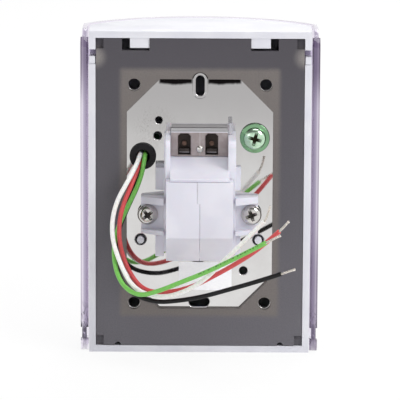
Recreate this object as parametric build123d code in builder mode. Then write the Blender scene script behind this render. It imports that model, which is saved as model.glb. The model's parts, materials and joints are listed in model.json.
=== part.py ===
from build123d import *
from math import cos, pi, radians, sin, sqrt, tan
import os

# A wall-mounted pushbutton station with a lift-up clear cover, in millimetres. It is described as seen
# from behind: X to the right, Y from the wall to the front, Z up. The wall plane is Y = 0, and the
# button's axis runs through the origin.

# Driving dimensions: housing
housing_width = 83.2
housing_height = 122.4
side_depth = 20.0
bow_rise = 23.0
housing_wall = 2.5
bow_edge_round = 0.8
ledge_width = 2.5
ledge_depth = 2.0
side_ledge_top_drop = 17.2
side_ledge_bottom_rise = 11.2
end_ledge_half_length = 14.0
lug_width = 7.3
lug_offset = 22.6
lug_drop = 3.75
lug_depth = 16.0
lug_setback = 0.4

# Driving dimensions: gasket and back plate
gasket_thickness = 2.5
plate_thickness = 1.2
pocket_gap = 0.2
window_side_margin = 2.85
window_end_margin = 2.23
hole_land = 2.85
notch_gap = 3.0
notch_drop = 0.75
corner_notch_width = 2.8
corner_notch_height = 3.8
corner_notch_depth = 1.5
drain_offset = 30.7
drain_radius = 1.2
screw_spacing_x = 49.3
screw_spacing_z = 83.34
pattern_drop = 0.6
screw_hole_radius = 2.0
gasket_hole_radius = 2.4
bottom_slot = (7.7, 3.5)
top_slot = (7.5, 3.2)
top_slot_drop = 0.4
slot_rim = 1.3
slot_rim_height = 0.8
slot_rim_round = 0.45
slot_rim_gap = 0.2
hole_chamfer = 0.3
plate_bore_margin = 1.5
overcut = 0.5

# Driving dimensions: pushbutton, about an axis at the origin
recess_radius = 26.0
recess_depth = 21.0
recess_floor = 2.5
recess_wall = 2.2
bush_radius = 11.0
bush_flange_radius = 15.0
bush_flange = 2.5
bush_length = 16.0
spring_pocket_radius = 8.6
spring_pocket_depth = 10.0
seal_washer = 1.0
nut_across_flats = 27.0
nut_thickness = 3.0
stem_radius = 5.0
running_gap = 0.08
static_gap = 0.1
travel = 5.0
end_gap = 0.3
head_radius = 20.0
head_rim = 3.0
head_dome = 6.0
spigot_radius = 3.0
spigot_recess = 0.2
actuator_radius = 10.0
actuator_thickness = 2.0
clip_radius = 7.0
clip_thickness = 0.8
clip_groove = 0.8
clip_gap = 0.05
clip_mouth = 4.0
spring_wire = 1.0
spring_mean_radius = 6.9
spring_turns = 6

# Driving dimensions: lamp board behind the recess
board_radius = 24.0
board_hole_radius = 16.5
board_thickness = 1.6
board_standoff = 4.0
board_tongue = 12.0
lamp_radius = 1.5
lamp_circle = 20.5
standoff_radius = 3.0
board_screw_radius = 1.2
board_screw_head = 2.4
board_screw_head_height = 1.6
board_screw_end_gap = 1.0
lead_block_size = 7.0
lead_block_height = 4.9

# Driving dimensions: contact assembly on the back of the plate
holder_half_width = 13.4
holder_top = 23.4
holder_lip = 22.6
holder_bottom = -21.8
holder_base = 5.5
holder_bore = 10.8
left_cheek = (10.9, 12.7)
right_cheek = (10.5, 13.4)
cheek_reach = 22.5
cheek_round = 3.0
deck_top = 15.4
deck_front = 10.5
deck_reach = 29.5
block_half_width = 12.3
block_top = 9.0
block_step = 1.2
block_shoulder = -11.7
block_reach = 30.5
bevel_reach = 22.5
block_gap = 0.1
seam_low = 0.1
seam_high = -0.9
cell_half_width = 4.2
cell_half_height = 6.4
cell_wall = 1.2
cell_margin = 0.4
plunger_radius = 2.2
plunger_offset = 6.3
plunger_stub = 1.5
bridge_thickness = 0.8
bridge_half_width = 3.4
contact_radius = 1.2
plunger_spring_wire = 0.4
plunger_spring_radius = 1.6
plunger_spring_turns = 7
terminal_bottom = 15.6
terminal_top = 24.6
terminal_thickness = 4.5
wire_slot_width = 4.7
wire_slot_height = 8.0
wire_slot_sill = 0.4
wire_slot_corner = 0.9
wire_slot_places = (-5.8, 4.4)
wire_slot_chamfer = 0.3
clamp_thickness = 1.0
clamp_height = 2.2
clamp_setback = 1.0
wire_screw_radius = 0.9
wire_screw_head = 1.2
wire_screw_drop = 4.1
centre_screw_radius = 1.4
centre_screw_head = 0.8
centre_screw_rise = 2.6
post_x = 11.4
post_radius = 0.8
post_height = 4.2
post_setback = 2.0
ear_width = 8.6
ear_top = -1.0
ear_bottom = -15.2
ear_thickness = 2.2
rib_depths = (8.6, 3.2)
upper_rib = 2.7
lower_rib = 1.7
flange_widths = (3.2, 2.1)
flange_thickness = 3.5
upper_flange = (1.5, 10.0)
lower_flange = (-24.0, -16.0)
latch_size = 1.4
holder_screw_inset = 2.5
holder_screw_radius = 1.7
holder_screw_head_radius = 3.9
holder_screw_head = 2.4
screw_shank_length = 6.0
stake_x = 22.2
stake_z = -18.2
stake_radius = 1.35
stake_hole_radius = 2.05
stake_shoulder_radius = 3.4
stake_shoulder_setback = 5.0
stake_reach = 1.3
label_width = 20.0
label_height = 10.8
label_x = 2.25
label_z = -32.2
label_thickness = 0.15
ground_screw_x = 20.6
ground_screw_z = 20.9
ground_washer_radius = 5.6
ground_washer_thickness = 0.9
ground_head_radius = 3.8
ground_head = 2.3
ground_shank_radius = 1.9
cross_width = 0.9
cross_length = 4.0
cross_depth = 1.2

# Driving dimensions: grommet and the four leads
grommet_to_holder = 8.0
grommet_x = -(holder_half_width + grommet_to_holder)
grommet_z = 13.8
grommet_radius = 5.0
grommet_neck_radius = 3.9
grommet_bore = 2.4
grommet_flange = 1.5
grommet_lip = 1.0
lead_diameter = 1.7
lead_pitch = 1.8
strand_diameter = 0.9
strand_straight = 2.0

# Driving dimensions: cover
side_gap = 1.0
bow_gap = 2.4
cover_wall = 1.7
cover_rear = 1.0
bead_gap = 0.3
bead_proud = 0.5
bead_depth = 2.5
foot_length = 4.8
waist_length = 4.5
foot_round = 3.0
hinge_y = 10.0
hinge_drop = 9.6
pin_radius = 2.7
pin_overhang = 1.8
collar_radius = 4.2
keeper_gap = 0.3
keeper_height = 2.9
cover_corner_round = 2.0
latch_radius = 1.4
latch_rise = 3.0
latch_y = 5.0

# Worked-out places
half_width = housing_width / 2
half_height = housing_height / 2
inner_half_width = half_width - housing_wall
inner_half_height = half_height - housing_wall
seal_half_width = inner_half_width - pocket_gap
seal_half_height = inner_half_height - pocket_gap
side_ledge_top = half_height - side_ledge_top_drop
side_ledge_bottom = side_ledge_bottom_rise - half_height
window_width = screw_spacing_x + 2 * window_side_margin
window_height = screw_spacing_z + 2 * window_end_margin
window_chamfer = window_side_margin + window_end_margin + sqrt(2) * (gasket_hole_radius + hole_land)
hinge_z = half_height - hinge_drop
pin_reach = inner_half_width - pin_overhang
latch_z = latch_rise - half_height
waist_bottom = foot_length - half_height
waist_top = waist_bottom + waist_length
plate_rear = gasket_thickness
plate_front = plate_rear + plate_thickness
bow_radius = (half_width**2 + bow_rise**2) / (2 * bow_rise)
bow_centre = side_depth + bow_rise - bow_radius
crown = side_depth + bow_rise
floor_front = crown - recess_depth
floor_rear = floor_front - recess_floor
flange_rear = floor_front + seal_washer
flange_front = flange_rear + bush_flange
bush_rear = flange_front - bush_length
pocket_floor = flange_front - spring_pocket_depth
head_rear = flange_front + travel + end_gap
head_front = head_rear + head_rim + head_dome
holder_rear = plate_rear - holder_base
actuator_rear = holder_rear + travel + end_gap
actuator_front = actuator_rear + actuator_thickness
clip_front = bush_rear - running_gap
board_front = floor_rear - board_standoff
board_rear = board_front - board_thickness
lead_block_rear = board_rear - lead_block_height
block_rear = plate_rear - block_reach
block_front = holder_rear
cell_rear = block_rear + cell_wall
cheek_rear = plate_rear - cheek_reach
cheek_bottom = block_top + block_gap
deck_front_y = plate_rear - deck_front
deck_rear = plate_rear - deck_reach
terminal_rear = deck_front_y
terminal_front = terminal_rear + terminal_thickness
top_screw_z = screw_spacing_z / 2 - pattern_drop
top_slot_z = top_screw_z - top_slot_drop
bottom_slot_z = -screw_spacing_z / 2 - pattern_drop
screw_corners = [(side * screw_spacing_x / 2, z) for side in (-1, 1) for z in (bottom_slot_z, top_screw_z)]
slot_rim_outside = [size + 2 * slot_rim for size in top_slot]
slot_rim_notch = [size + 2 * slot_rim_gap for size in slot_rim_outside]
holder_screw_x = holder_half_width + ear_width - holder_screw_inset
holder_screw_z = (ear_top + ear_bottom) / 2
small_holes = [(-15.4, 27.4, 1.3), (-15.8, 21.5, 1.5), (16.7, -30.1, 1.5)]
lamp_places = [(lamp_circle * cos(radians(a)), lamp_circle * sin(radians(a))) for a in (45, 135, 225, 315)]
standoff_places = [(-lamp_circle, 0), (lamp_circle, 0)]
lead_exits = {
    "white": (grommet_x - lead_pitch / 2, grommet_z + lead_pitch / 2),
    "red": (grommet_x - lead_pitch / 2, grommet_z - lead_pitch / 2),
    "green": (grommet_x + lead_pitch / 2, grommet_z + lead_pitch / 2),
    "black": (grommet_x + lead_pitch / 2, grommet_z - lead_pitch / 2),
}
# How far each lead runs straight back from its block, then the points of its route and its bare tip
lead_straights = {"white": -5.0, "red": -3.0, "green": -2.5, "black": -0.5}
lead_routes = {
    "white": [(-25.6, -13.2, 8.7), (-31.5, -15, -1.5), (-32.9, -15.2, -12.7), (-29.7, -16.9, -23.2),
              (-24.5, -21.5, -32.2), (-15, -28.2, -34.2), (-6.2, -34.3, -30.9), (1.8, -39.5, -25.1),
              (8.4, -43.7, -17.3), (16.1, -46.5, -9.1), (23.2, -49.5, -1.2)],
    "red": [(-24.5, -11.8, 7.2), (-29.4, -13.5, -4.1), (-30.2, -13.3, -15.3), (-27, -13, -26.4),
            (-20.9, -20.6, -33.1), (-11.2, -27.2, -32.4), (-1.9, -32.7, -28.7), (6.2, -38.4, -23.1),
            (14.1, -44, -17.4), (21.9, -49.9, -10.8), (28.5, -55.5, -3.6)],
    "green": [(-21.8, -8.8, 7.3), (-26.3, -9.2, -2.4), (-31, -9.9, -12.2), (-32.2, -14.4, -21.5),
              (-29.4, -19.3, -30.6), (-22.7, -27.3, -33.8), (-14.8, -33, -30.5), (-6.7, -37.8, -26.1),
              (1.1, -43.2, -21.8), (8.6, -48.5, -17.1), (16.3, -54.1, -12), (23.6, -59.5, -7)],
    "black": [(-22.5, -6.9, 5.1), (-27.5, -6.4, -5.6), (-31.3, -7.4, -15.7), (-31.3, -12.5, -25.5),
              (-27, -18.4, -33.8), (-17, -22.6, -37.1), (-7.2, -26.9, -35.4), (2.2, -31.7, -32.6),
              (11.3, -36.4, -28.9), (20.7, -41.3, -25.1), (29.6, -46, -21.1)],
}
lead_tips = {
    "white": (25.3, -51, 4.8), "red": (31.9, -57.5, 0.5), "green": (28.9, -61, -3.9), "black": (34.7, -47.5, -19),
}


def facing_wall(y):
    """The plane at a depth y, seen from behind, with X to the right and Z up."""
    return Plane.XZ.offset(-y)


def block(x0, x1, y0, y1, z0, z1, mode=Mode.ADD):
    """A box between two corners."""
    with Locations(((x0 + x1) / 2, (y0 + y1) / 2, (z0 + z1) / 2)):
        Box(x1 - x0, y1 - y0, z1 - z0, mode=mode)


def rod(x, z, radius, y0, y1, mode=Mode.ADD):
    """A round bar along Y."""
    with Locations((x, (y0 + y1) / 2, z)):
        Cylinder(radius, y1 - y0, rotation=(90, 0, 0), mode=mode)


def turned(corners, x=0.0, z=0.0, mode=Mode.ADD):
    """A closed outline of (radius, depth) corners turned about a line along Y."""
    with BuildSketch(Plane(origin=(x, 0, z), x_dir=(1, 0, 0), z_dir=(0, 0, 1))) as outline:
        with BuildLine():
            Polyline(*corners, close=True)
        make_face()
    revolve(outline.sketch, axis=Axis((x, 0, z), (0, 1, 0)), mode=mode)


def cross_slot(x, z, rear):
    """A cross recess cut into a screw head whose rear face is at that depth."""
    for wide, high in ((cross_length, cross_width), (cross_width, cross_length)):
        block(x - wide / 2, x + wide / 2, rear, rear + cross_depth, z - high / 2, z + high / 2, Mode.SUBTRACT)


def bow_depth(x, grow):
    """The depth of the housing's bow at x, moved outward by grow."""
    return bow_centre + sqrt((bow_radius + grow) ** 2 - x**2)


def bow_outline(width, grow, rear):
    """The outline, seen from above, of a body with flat sides and a bowed front."""
    Polyline((width, bow_depth(width, grow)), (width, rear), (-width, rear), (-width, bow_depth(width, grow)))
    ThreePointArc((-width, bow_depth(width, grow)), (0, bow_depth(0, grow)), (width, bow_depth(width, grow)))


def notched_sheet():
    """The outline shared by the gasket and the back plate."""
    Rectangle(2 * seal_half_width, 2 * seal_half_height)
    notch_width = lug_width + 2 * notch_gap
    for side in (-1, 1):
        with Locations((side * (lug_offset + notch_gap / 2), seal_half_height)):
            Rectangle(notch_width - notch_gap, 2 * (lug_drop + notch_drop), mode=Mode.SUBTRACT)
        with Locations((side * drain_offset, -seal_half_height)):
            Circle(drain_radius, mode=Mode.SUBTRACT)


# Housing
with BuildPart() as bow_block:
    with BuildSketch(Plane.XY.offset(-half_height)):
        with BuildLine():
            bow_outline(half_width, 0, 0)
        make_face()
    extrude(amount=housing_height)

with BuildPart() as recess_cup:
    rod(0, 0, recess_radius + recess_wall, floor_rear, crown + housing_wall)
    add(bow_block.part, mode=Mode.INTERSECT)

with BuildPart() as housing:
    add(bow_block.part)
    front_edges = housing.edges().filter_by(GeomType.CIRCLE)
    fillet(front_edges, bow_edge_round)
    with BuildSketch(Plane.XY.offset(-inner_half_height)):
        with BuildLine():
            bow_outline(inner_half_width, -housing_wall, -housing_wall)
        make_face()
    extrude(amount=2 * inner_half_height, mode=Mode.SUBTRACT)
    add(recess_cup.part)
    rod(0, 0, recess_radius, floor_front, crown + housing_wall, Mode.SUBTRACT)
    rod(0, 0, bush_radius + static_gap, floor_rear, floor_front, Mode.SUBTRACT)
    for x, z in lamp_places:
        rod(x, z, lamp_radius + static_gap, floor_rear, floor_front, Mode.SUBTRACT)
    for x, z in standoff_places:
        rod(x, z, standoff_radius, board_front, floor_rear)
        rod(x, z, board_screw_radius + static_gap, board_front, floor_rear, Mode.SUBTRACT)
    for side in (-1, 1):
        edges = sorted((side * inner_half_width, side * (inner_half_width - ledge_width)))
        block(*edges, plate_front, plate_front + ledge_depth, side_ledge_bottom, side_ledge_top)
        ends = sorted((side * inner_half_height, side * (inner_half_height - ledge_width)))
        block(-end_ledge_half_length, end_ledge_half_length, plate_front, plate_front + ledge_depth, *ends)
        block(side * lug_offset - lug_width / 2, side * lug_offset + lug_width / 2, lug_setback, lug_depth,
              inner_half_height - lug_drop, inner_half_height)
        # Stakes that stand on the recess floor and locate the plate
        shoulder = plate_front + stake_shoulder_setback
        rod(side * stake_x, stake_z, stake_shoulder_radius, shoulder, floor_rear)
        rod(side * stake_x, stake_z, stake_radius, plate_rear - stake_reach, shoulder)
        # Slot that the cover's pivot snaps into from the back
        slot = sorted((side * (inner_half_width - overcut), side * (half_width + overcut)))
        bore = pin_radius + running_gap
        block(*slot, -overcut, hinge_y, hinge_z - bore, hinge_z + bore, Mode.SUBTRACT)
        with Locations((side * (half_width - housing_wall / 2), hinge_y, hinge_z)):
            Cylinder(bore, housing_wall + 2 * overcut, rotation=(0, 90, 0), mode=Mode.SUBTRACT)

# Gasket and back plate
with BuildPart() as gasket:
    with BuildSketch(facing_wall(0)):
        notched_sheet()
        with BuildSketch(mode=Mode.PRIVATE) as window:
            Rectangle(window_width, window_height)
            chamfer(window.vertices(), window_chamfer)
        with Locations((0, -pattern_drop)):
            add(window.sketch, mode=Mode.SUBTRACT)
        with Locations((0, top_slot_z)):
            SlotOverall(*slot_rim_notch, rotation=90, mode=Mode.SUBTRACT)
        with Locations(*screw_corners):
            Circle(gasket_hole_radius, mode=Mode.SUBTRACT)
    extrude(amount=-gasket_thickness)
    for side in (-1, 1):
        for end in (-1, 1):
            across = side * (seal_half_width - corner_notch_width), side * (seal_half_width + overcut)
            up = end * (seal_half_height - corner_notch_height), end * (seal_half_height + overcut)
            block(*sorted(across), -overcut, corner_notch_depth, *sorted(up), Mode.SUBTRACT)

with BuildPart() as back_plate:
    with BuildSketch(facing_wall(plate_rear)):
        notched_sheet()
        with Locations(*screw_corners):
            Circle(screw_hole_radius, mode=Mode.SUBTRACT)
        with Locations((0, bottom_slot_z)):
            SlotOverall(*bottom_slot, mode=Mode.SUBTRACT)
        for x, z, radius in small_holes:
            with Locations((x, z)):
                Circle(radius, mode=Mode.SUBTRACT)
        with Locations((-stake_x, stake_z), (stake_x, stake_z)):
            Circle(stake_hole_radius, mode=Mode.SUBTRACT)
        with Locations((-holder_screw_x, holder_screw_z), (holder_screw_x, holder_screw_z)):
            Circle(holder_screw_radius + static_gap, mode=Mode.SUBTRACT)
        with Locations((ground_screw_x, ground_screw_z)):
            Circle(ground_shank_radius + static_gap, mode=Mode.SUBTRACT)
        with Locations((grommet_x, grommet_z)):
            Circle(grommet_neck_radius + static_gap, mode=Mode.SUBTRACT)
        Circle(actuator_radius + plate_bore_margin, mode=Mode.SUBTRACT)
    extrude(amount=-plate_thickness)
    chamfer(back_plate.faces().sort_by(Axis.Y)[0].inner_wires().edges(), hole_chamfer)
    # The upper slot has a rolled rim that stands back into the gasket
    rim_plane = facing_wall(plate_rear - slot_rim_height)
    with BuildSketch(rim_plane):
        with Locations((0, top_slot_z)):
            SlotOverall(*slot_rim_outside, rotation=90)
    extrude(amount=-slot_rim_height)
    with BuildSketch(rim_plane):
        with Locations((0, top_slot_z)):
            SlotOverall(*top_slot, rotation=90)
    extrude(amount=-slot_rim_height - plate_thickness, mode=Mode.SUBTRACT)
    fillet(back_plate.faces().sort_by(Axis.Y)[0].edges(), slot_rim_round)

# Cover, with its pivots, rear bead and latch studs
with BuildPart() as cover:
    inner = half_width + side_gap
    outer = inner + cover_wall
    with BuildSketch(Plane.XY.offset(-half_height)):
        with BuildLine():
            bow_outline(outer, bow_gap + cover_wall, cover_rear)
        make_face()
        fillet(vertices().group_by(Axis.Y)[-1], cover_corner_round)
        with BuildSketch(mode=Mode.PRIVATE) as hollow:
            with BuildLine():
                bow_outline(inner, bow_gap, cover_rear - housing_wall)
            make_face()
        add(hollow.sketch, mode=Mode.SUBTRACT)
    extrude(amount=housing_height)
    bead_inner = half_width + bead_gap
    bead_outer = outer + bead_proud
    for side in (-1, 1):
        for low, high in ((-half_height, waist_bottom), (waist_top, half_height)):
            for x0, x1 in ((bead_inner, inner), (outer, bead_outer)):
                block(*sorted((side * x0, side * x1)), cover_rear, cover_rear + bead_depth, low, high)
        with Locations((side * (bead_inner + inner) / 2, hinge_y, hinge_z)):
            Cylinder(collar_radius, inner - bead_inner, rotation=(0, 90, 0))
        with Locations((side * (pin_reach + inner) / 2, hinge_y, hinge_z)):
            Cylinder(pin_radius, inner - pin_reach, rotation=(0, 90, 0))
        with Locations((side * (bead_inner + inner) / 2, latch_y, latch_z)):
            Cylinder(latch_radius, inner - bead_inner, rotation=(0, 90, 0))
    # The corner behind the hinge is round about it, so that it clears the wall as the cover lifts
    swing_radius = hinge_drop
    with BuildSketch(Plane.YZ):
        with Locations((cover_rear, hinge_z)):
            Rectangle(hinge_y - cover_rear, swing_radius + overcut, align=(Align.MIN, Align.MIN))
        with Locations((hinge_y, hinge_z)):
            Circle(swing_radius, mode=Mode.SUBTRACT)
        with Locations((cover_rear, -half_height)):
            Rectangle(foot_round, foot_round, align=(Align.MIN, Align.MIN))
        with Locations((cover_rear + foot_round, -half_height + foot_round)):
            Circle(foot_round, mode=Mode.SUBTRACT)
    extrude(amount=housing_width, both=True, mode=Mode.SUBTRACT)

with BuildPart() as pivot_keepers:
    for side in (-1, 1):
        sides = sorted((side * (inner_half_width + static_gap), side * (half_width - static_gap)))
        block(*sides, keeper_gap, hinge_y - pin_radius - keeper_gap,
              hinge_z - pin_radius, hinge_z - pin_radius + keeper_height)

# Pushbutton
with BuildPart() as guide_bush:
    turned([(stem_radius + running_gap, bush_rear), (bush_radius, bush_rear), (bush_radius, flange_rear),
            (bush_flange_radius, flange_rear), (bush_flange_radius, flange_front),
            (spring_pocket_radius, flange_front), (spring_pocket_radius, pocket_floor),
            (stem_radius + running_gap, pocket_floor)])

with BuildPart() as bezel_seal:
    turned([(bush_radius + static_gap, floor_front), (bush_flange_radius, floor_front),
            (bush_flange_radius, flange_rear), (bush_radius + static_gap, flange_rear)])

with BuildPart() as bush_nut:
    with BuildSketch(facing_wall(floor_rear)):
        RegularPolygon(nut_across_flats / 2, 6, major_radius=False)
        Circle(bush_radius + static_gap, mode=Mode.SUBTRACT)
    extrude(amount=nut_thickness)

with BuildPart() as button_head:
    dome_radius = (head_radius**2 + head_dome**2) / (2 * head_dome)
    with BuildSketch(Plane.XY):
        with BuildLine():
            shoulder = (head_radius, head_rear + head_rim)
            Polyline((0, head_front), (0, head_rear), (head_radius, head_rear), shoulder)
            RadiusArc(shoulder, (0, head_front), -dome_radius)
        make_face()
    revolve(axis=Axis.Y)

with BuildPart() as button_stem:
    groove = stem_radius - clip_groove
    turned([(0, head_rear), (stem_radius, head_rear), (stem_radius, clip_front), (groove, clip_front),
            (groove, clip_front - clip_thickness), (stem_radius, clip_front - clip_thickness),
            (stem_radius, actuator_front), (spigot_radius, actuator_front),
            (spigot_radius, actuator_rear + spigot_recess), (0, actuator_rear + spigot_recess)])

with BuildPart() as retaining_clip:
    clip_rear = clip_front - clip_thickness
    turned([(groove + clip_gap, clip_rear + clip_gap), (clip_radius, clip_rear + clip_gap),
            (clip_radius, clip_front - clip_gap), (groove + clip_gap, clip_front - clip_gap)])
    block(0, clip_radius + overcut, clip_rear, clip_front, -clip_mouth / 2, clip_mouth / 2, Mode.SUBTRACT)

with BuildPart() as actuator:
    turned([(spigot_radius + static_gap, actuator_rear), (actuator_radius, actuator_rear),
            (actuator_radius, actuator_front), (spigot_radius + static_gap, actuator_front)])


def coil(x, z, radius, wire, turns, y0, y1):
    """A coil spring between two depths, about a line along Y."""
    height = y1 - y0 - wire
    with BuildLine() as winding:
        Helix(pitch=height / turns, height=height, radius=radius, center=(x, y0 + wire / 2, z),
              direction=(0, 1, 0))
    start = winding.line @ 0
    with BuildSketch(Plane(origin=start, z_dir=winding.line % 0)) as section:
        Circle(wire / 2)
    sweep(section.sketch, path=winding.line, is_frenet=True)


with BuildPart() as return_spring:
    coil(0, 0, spring_mean_radius, spring_wire, spring_turns, pocket_floor, head_rear)

# Lamp board, carried by the recess
with BuildPart() as lamp_board:
    with BuildSketch(facing_wall(board_front)):
        Circle(board_radius)
        with Locations((grommet_x, grommet_z)):
            Rectangle(board_tongue, board_tongue)
        Circle(board_hole_radius, mode=Mode.SUBTRACT)
        with Locations(*standoff_places):
            Circle(board_screw_radius + static_gap, mode=Mode.SUBTRACT)
    extrude(amount=board_thickness)

with BuildPart() as board_screws:
    for x, z in standoff_places:
        rod(x, z, board_screw_radius, board_rear, floor_rear - board_screw_end_gap)
        rod(x, z, board_screw_head, board_rear - board_screw_head_height, board_rear)

with BuildPart() as lamps:
    for x, z in lamp_places:
        turned([(0, board_front), (lamp_radius, board_front), (lamp_radius, floor_front),
                (lamp_radius / 2, floor_front + lamp_radius / 2), (0, floor_front + lamp_radius / 2)], x, z)

with BuildPart() as lead_block:
    block(grommet_x - lead_block_size / 2, grommet_x + lead_block_size / 2, lead_block_rear, board_rear,
          grommet_z - lead_block_size / 2, grommet_z + lead_block_size / 2)

# Contact holder: base, cheeks, deck, ears, ribs and flanges
with BuildPart() as contact_holder:
    block(-holder_half_width, holder_half_width, holder_rear, plate_rear, holder_bottom, holder_lip)
    rod(0, 0, holder_bore, holder_rear, plate_rear, Mode.SUBTRACT)
    for side, flange_width, cheek_span in zip((-1, 1), flange_widths, (left_cheek, right_cheek)):
        cheek = sorted(side * reach for reach in cheek_span)
        block(*cheek, cheek_rear, holder_rear, cheek_bottom, holder_top)
        block(*cheek, holder_rear, plate_rear, holder_lip, holder_top)
        ear = sorted((side * holder_half_width, side * (holder_half_width + ear_width)))
        block(*ear, plate_rear - ear_thickness, plate_rear, ear_bottom, ear_top)
        rod(side * holder_screw_x, holder_screw_z, holder_screw_radius + static_gap,
            plate_rear - ear_thickness, plate_rear, Mode.SUBTRACT)
        # Two wedge ribs, along the top and the bottom of the ear
        for low, high in ((ear_top - upper_rib, ear_top), (ear_bottom, ear_bottom + lower_rib)):
            with BuildSketch(Plane.XY.offset(low)):
                with BuildLine():
                    foot, tip = side * holder_half_width, side * (holder_half_width + ear_width)
                    Polyline((foot, plate_rear - rib_depths[0]), (foot, plate_rear),
                             (tip, plate_rear), (tip, plate_rear - rib_depths[1]), close=True)
                make_face()
            extrude(amount=high - low)
        for low, high in (upper_flange, lower_flange):
            flange = sorted((side * holder_half_width, side * (holder_half_width + flange_width)))
            block(*flange, plate_rear - flange_thickness, plate_rear, low, high)
    top_corners = contact_holder.edges().filter_by(Axis.X).filter_by_position(Axis.Y, cheek_rear - 0.1,
                                                                              cheek_rear + 0.1)
    fillet(top_corners.group_by(Axis.Z)[-1], cheek_round)
    with BuildSketch(Plane.YZ):
        with BuildLine():
            Polyline((holder_rear, block_top + static_gap), (holder_rear, deck_top), (deck_front_y, deck_top),
                     (deck_rear, block_top + block_step), (deck_rear, block_top + static_gap), close=True)
        make_face()
    extrude(amount=left_cheek[0], both=True)


def contact_block(side):
    """One contact block: a box with a bevelled foot, a stepped seam and a cell for its plunger."""
    with BuildSketch(Plane.YZ.offset(-block_half_width)) as profile:
        with BuildLine():
            Polyline((block_front, block_top), (block_rear, block_top), (block_rear, block_shoulder),
                     (plate_rear - bevel_reach, holder_bottom), (block_front, holder_bottom), close=True)
        make_face()
    extrude(profile.sketch, amount=2 * block_half_width)
    cut = block_half_width + overcut
    for low, high, seam in ((holder_bottom - overcut, block_step, seam_low),
                            (block_step, block_top + overcut, seam_high)):
        edges = sorted((seam + side * block_gap / 2, -side * cut))
        block(*edges, block_rear - overcut, block_front + overcut, low, high, Mode.SUBTRACT)
    x = side * plunger_offset
    block(x - cell_half_width, x + cell_half_width, cell_rear, block_front - cell_wall,
          -cell_half_height, cell_half_height, Mode.SUBTRACT)
    rod(x, 0, plunger_radius + running_gap, block_front - cell_wall, block_front, Mode.SUBTRACT)


with BuildPart() as contact_block_left:
    contact_block(-1)

with BuildPart() as contact_block_right:
    contact_block(1)

# Plungers, bridges, fixed contacts and their springs inside the blocks
bridge_y = block_front - cell_wall - static_gap - bridge_thickness
plunger_rear = bridge_y - travel - plunger_stub
contact_front = bridge_y - travel

with BuildPart() as plungers:
    for side in (-1, 1):
        rod(side * plunger_offset, 0, plunger_radius, bridge_y + bridge_thickness, actuator_rear)
        rod(side * plunger_offset, 0, plunger_spring_radius / 2, plunger_rear, bridge_y)

with BuildPart() as contact_bridges:
    for side in (-1, 1):
        x = side * plunger_offset
        block(x - bridge_half_width, x + bridge_half_width, bridge_y, bridge_y + bridge_thickness,
              -cell_half_height + cell_margin, cell_half_height - cell_margin)

with BuildPart() as fixed_contacts:
    for side in (-1, 1):
        for end in (-1, 1):
            x, z = side * plunger_offset, end * (cell_half_height - contact_radius - cell_margin)
            rod(x, z, contact_radius, cell_rear, contact_front)

with BuildPart() as plunger_springs:
    for side in (-1, 1):
        coil(side * plunger_offset, 0, plunger_spring_radius, plunger_spring_wire, plunger_spring_turns,
             cell_rear, bridge_y)

# Terminal plate with its two wire slots, clamps and screws
with BuildPart() as terminal_plate:
    block(static_gap - left_cheek[0], right_cheek[0] - static_gap, terminal_rear, terminal_front,
          terminal_bottom, terminal_top)
    slot_bottom = terminal_bottom + wire_slot_sill
    slot_top = slot_bottom + wire_slot_height
    centre_screw_z = terminal_bottom + centre_screw_rise
    with BuildSketch(facing_wall(terminal_rear)):
        with Locations(*[(x, (slot_bottom + slot_top) / 2) for x in wire_slot_places]):
            Rectangle(wire_slot_width, wire_slot_height)
        chamfer(vertices().group_by(Axis.Y)[-1], wire_slot_corner)
    extrude(amount=-terminal_thickness, mode=Mode.SUBTRACT)
    chamfer(terminal_plate.faces().sort_by(Axis.Y)[0].inner_wires().edges(), wire_slot_chamfer)
    rod(0, centre_screw_z, centre_screw_radius / 2 + static_gap, terminal_rear, terminal_front, Mode.SUBTRACT)

with BuildPart() as terminal_clamps:
    for x in wire_slot_places:
        block(x - wire_slot_width / 2 + static_gap, x + wire_slot_width / 2 - static_gap,
              terminal_front - clamp_setback - clamp_thickness, terminal_front - clamp_setback,
              slot_bottom + static_gap, slot_bottom + static_gap + clamp_height)

with BuildPart() as wire_screws:
    for x in wire_slot_places:
        rod(x, slot_top - wire_screw_drop, wire_screw_radius,
            terminal_front - wire_screw_head, holder_rear)

with BuildPart() as centre_screw:
    rod(0, centre_screw_z, centre_screw_radius, terminal_rear - centre_screw_head, terminal_rear)
    rod(0, centre_screw_z, centre_screw_radius / 2, terminal_rear, terminal_front)

with BuildPart() as locating_post:
    with Locations((post_x, deck_front_y + post_setback, holder_top)):
        Cylinder(post_radius, post_height, align=(Align.CENTER, Align.CENTER, Align.MIN))

with BuildPart() as release_latch:
    block(-holder_half_width - flange_widths[0], -holder_half_width, plate_rear - flange_thickness,
          plate_rear, upper_flange[1] + static_gap, upper_flange[1] + static_gap + latch_size)

with BuildPart() as holder_screws:
    for side in (-1, 1):
        seat = plate_rear - ear_thickness
        rod(side * holder_screw_x, holder_screw_z, holder_screw_head_radius, seat - holder_screw_head, seat)
        rod(side * holder_screw_x, holder_screw_z, holder_screw_radius, seat, seat + screw_shank_length)
        cross_slot(side * holder_screw_x, holder_screw_z, seat - holder_screw_head)

with BuildPart() as ground_screw:
    washer_rear = plate_rear - ground_washer_thickness
    rod(ground_screw_x, ground_screw_z, ground_washer_radius, washer_rear, plate_rear)
    rod(ground_screw_x, ground_screw_z, ground_head_radius, washer_rear - ground_head, washer_rear)
    rod(ground_screw_x, ground_screw_z, ground_shank_radius, plate_rear, plate_rear + screw_shank_length)
    cross_slot(ground_screw_x, ground_screw_z, washer_rear - ground_head)

with BuildPart() as label:
    block(label_x - label_width / 2, label_x + label_width / 2, plate_rear - label_thickness, plate_rear,
          label_z - label_height / 2, label_z + label_height / 2)

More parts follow.
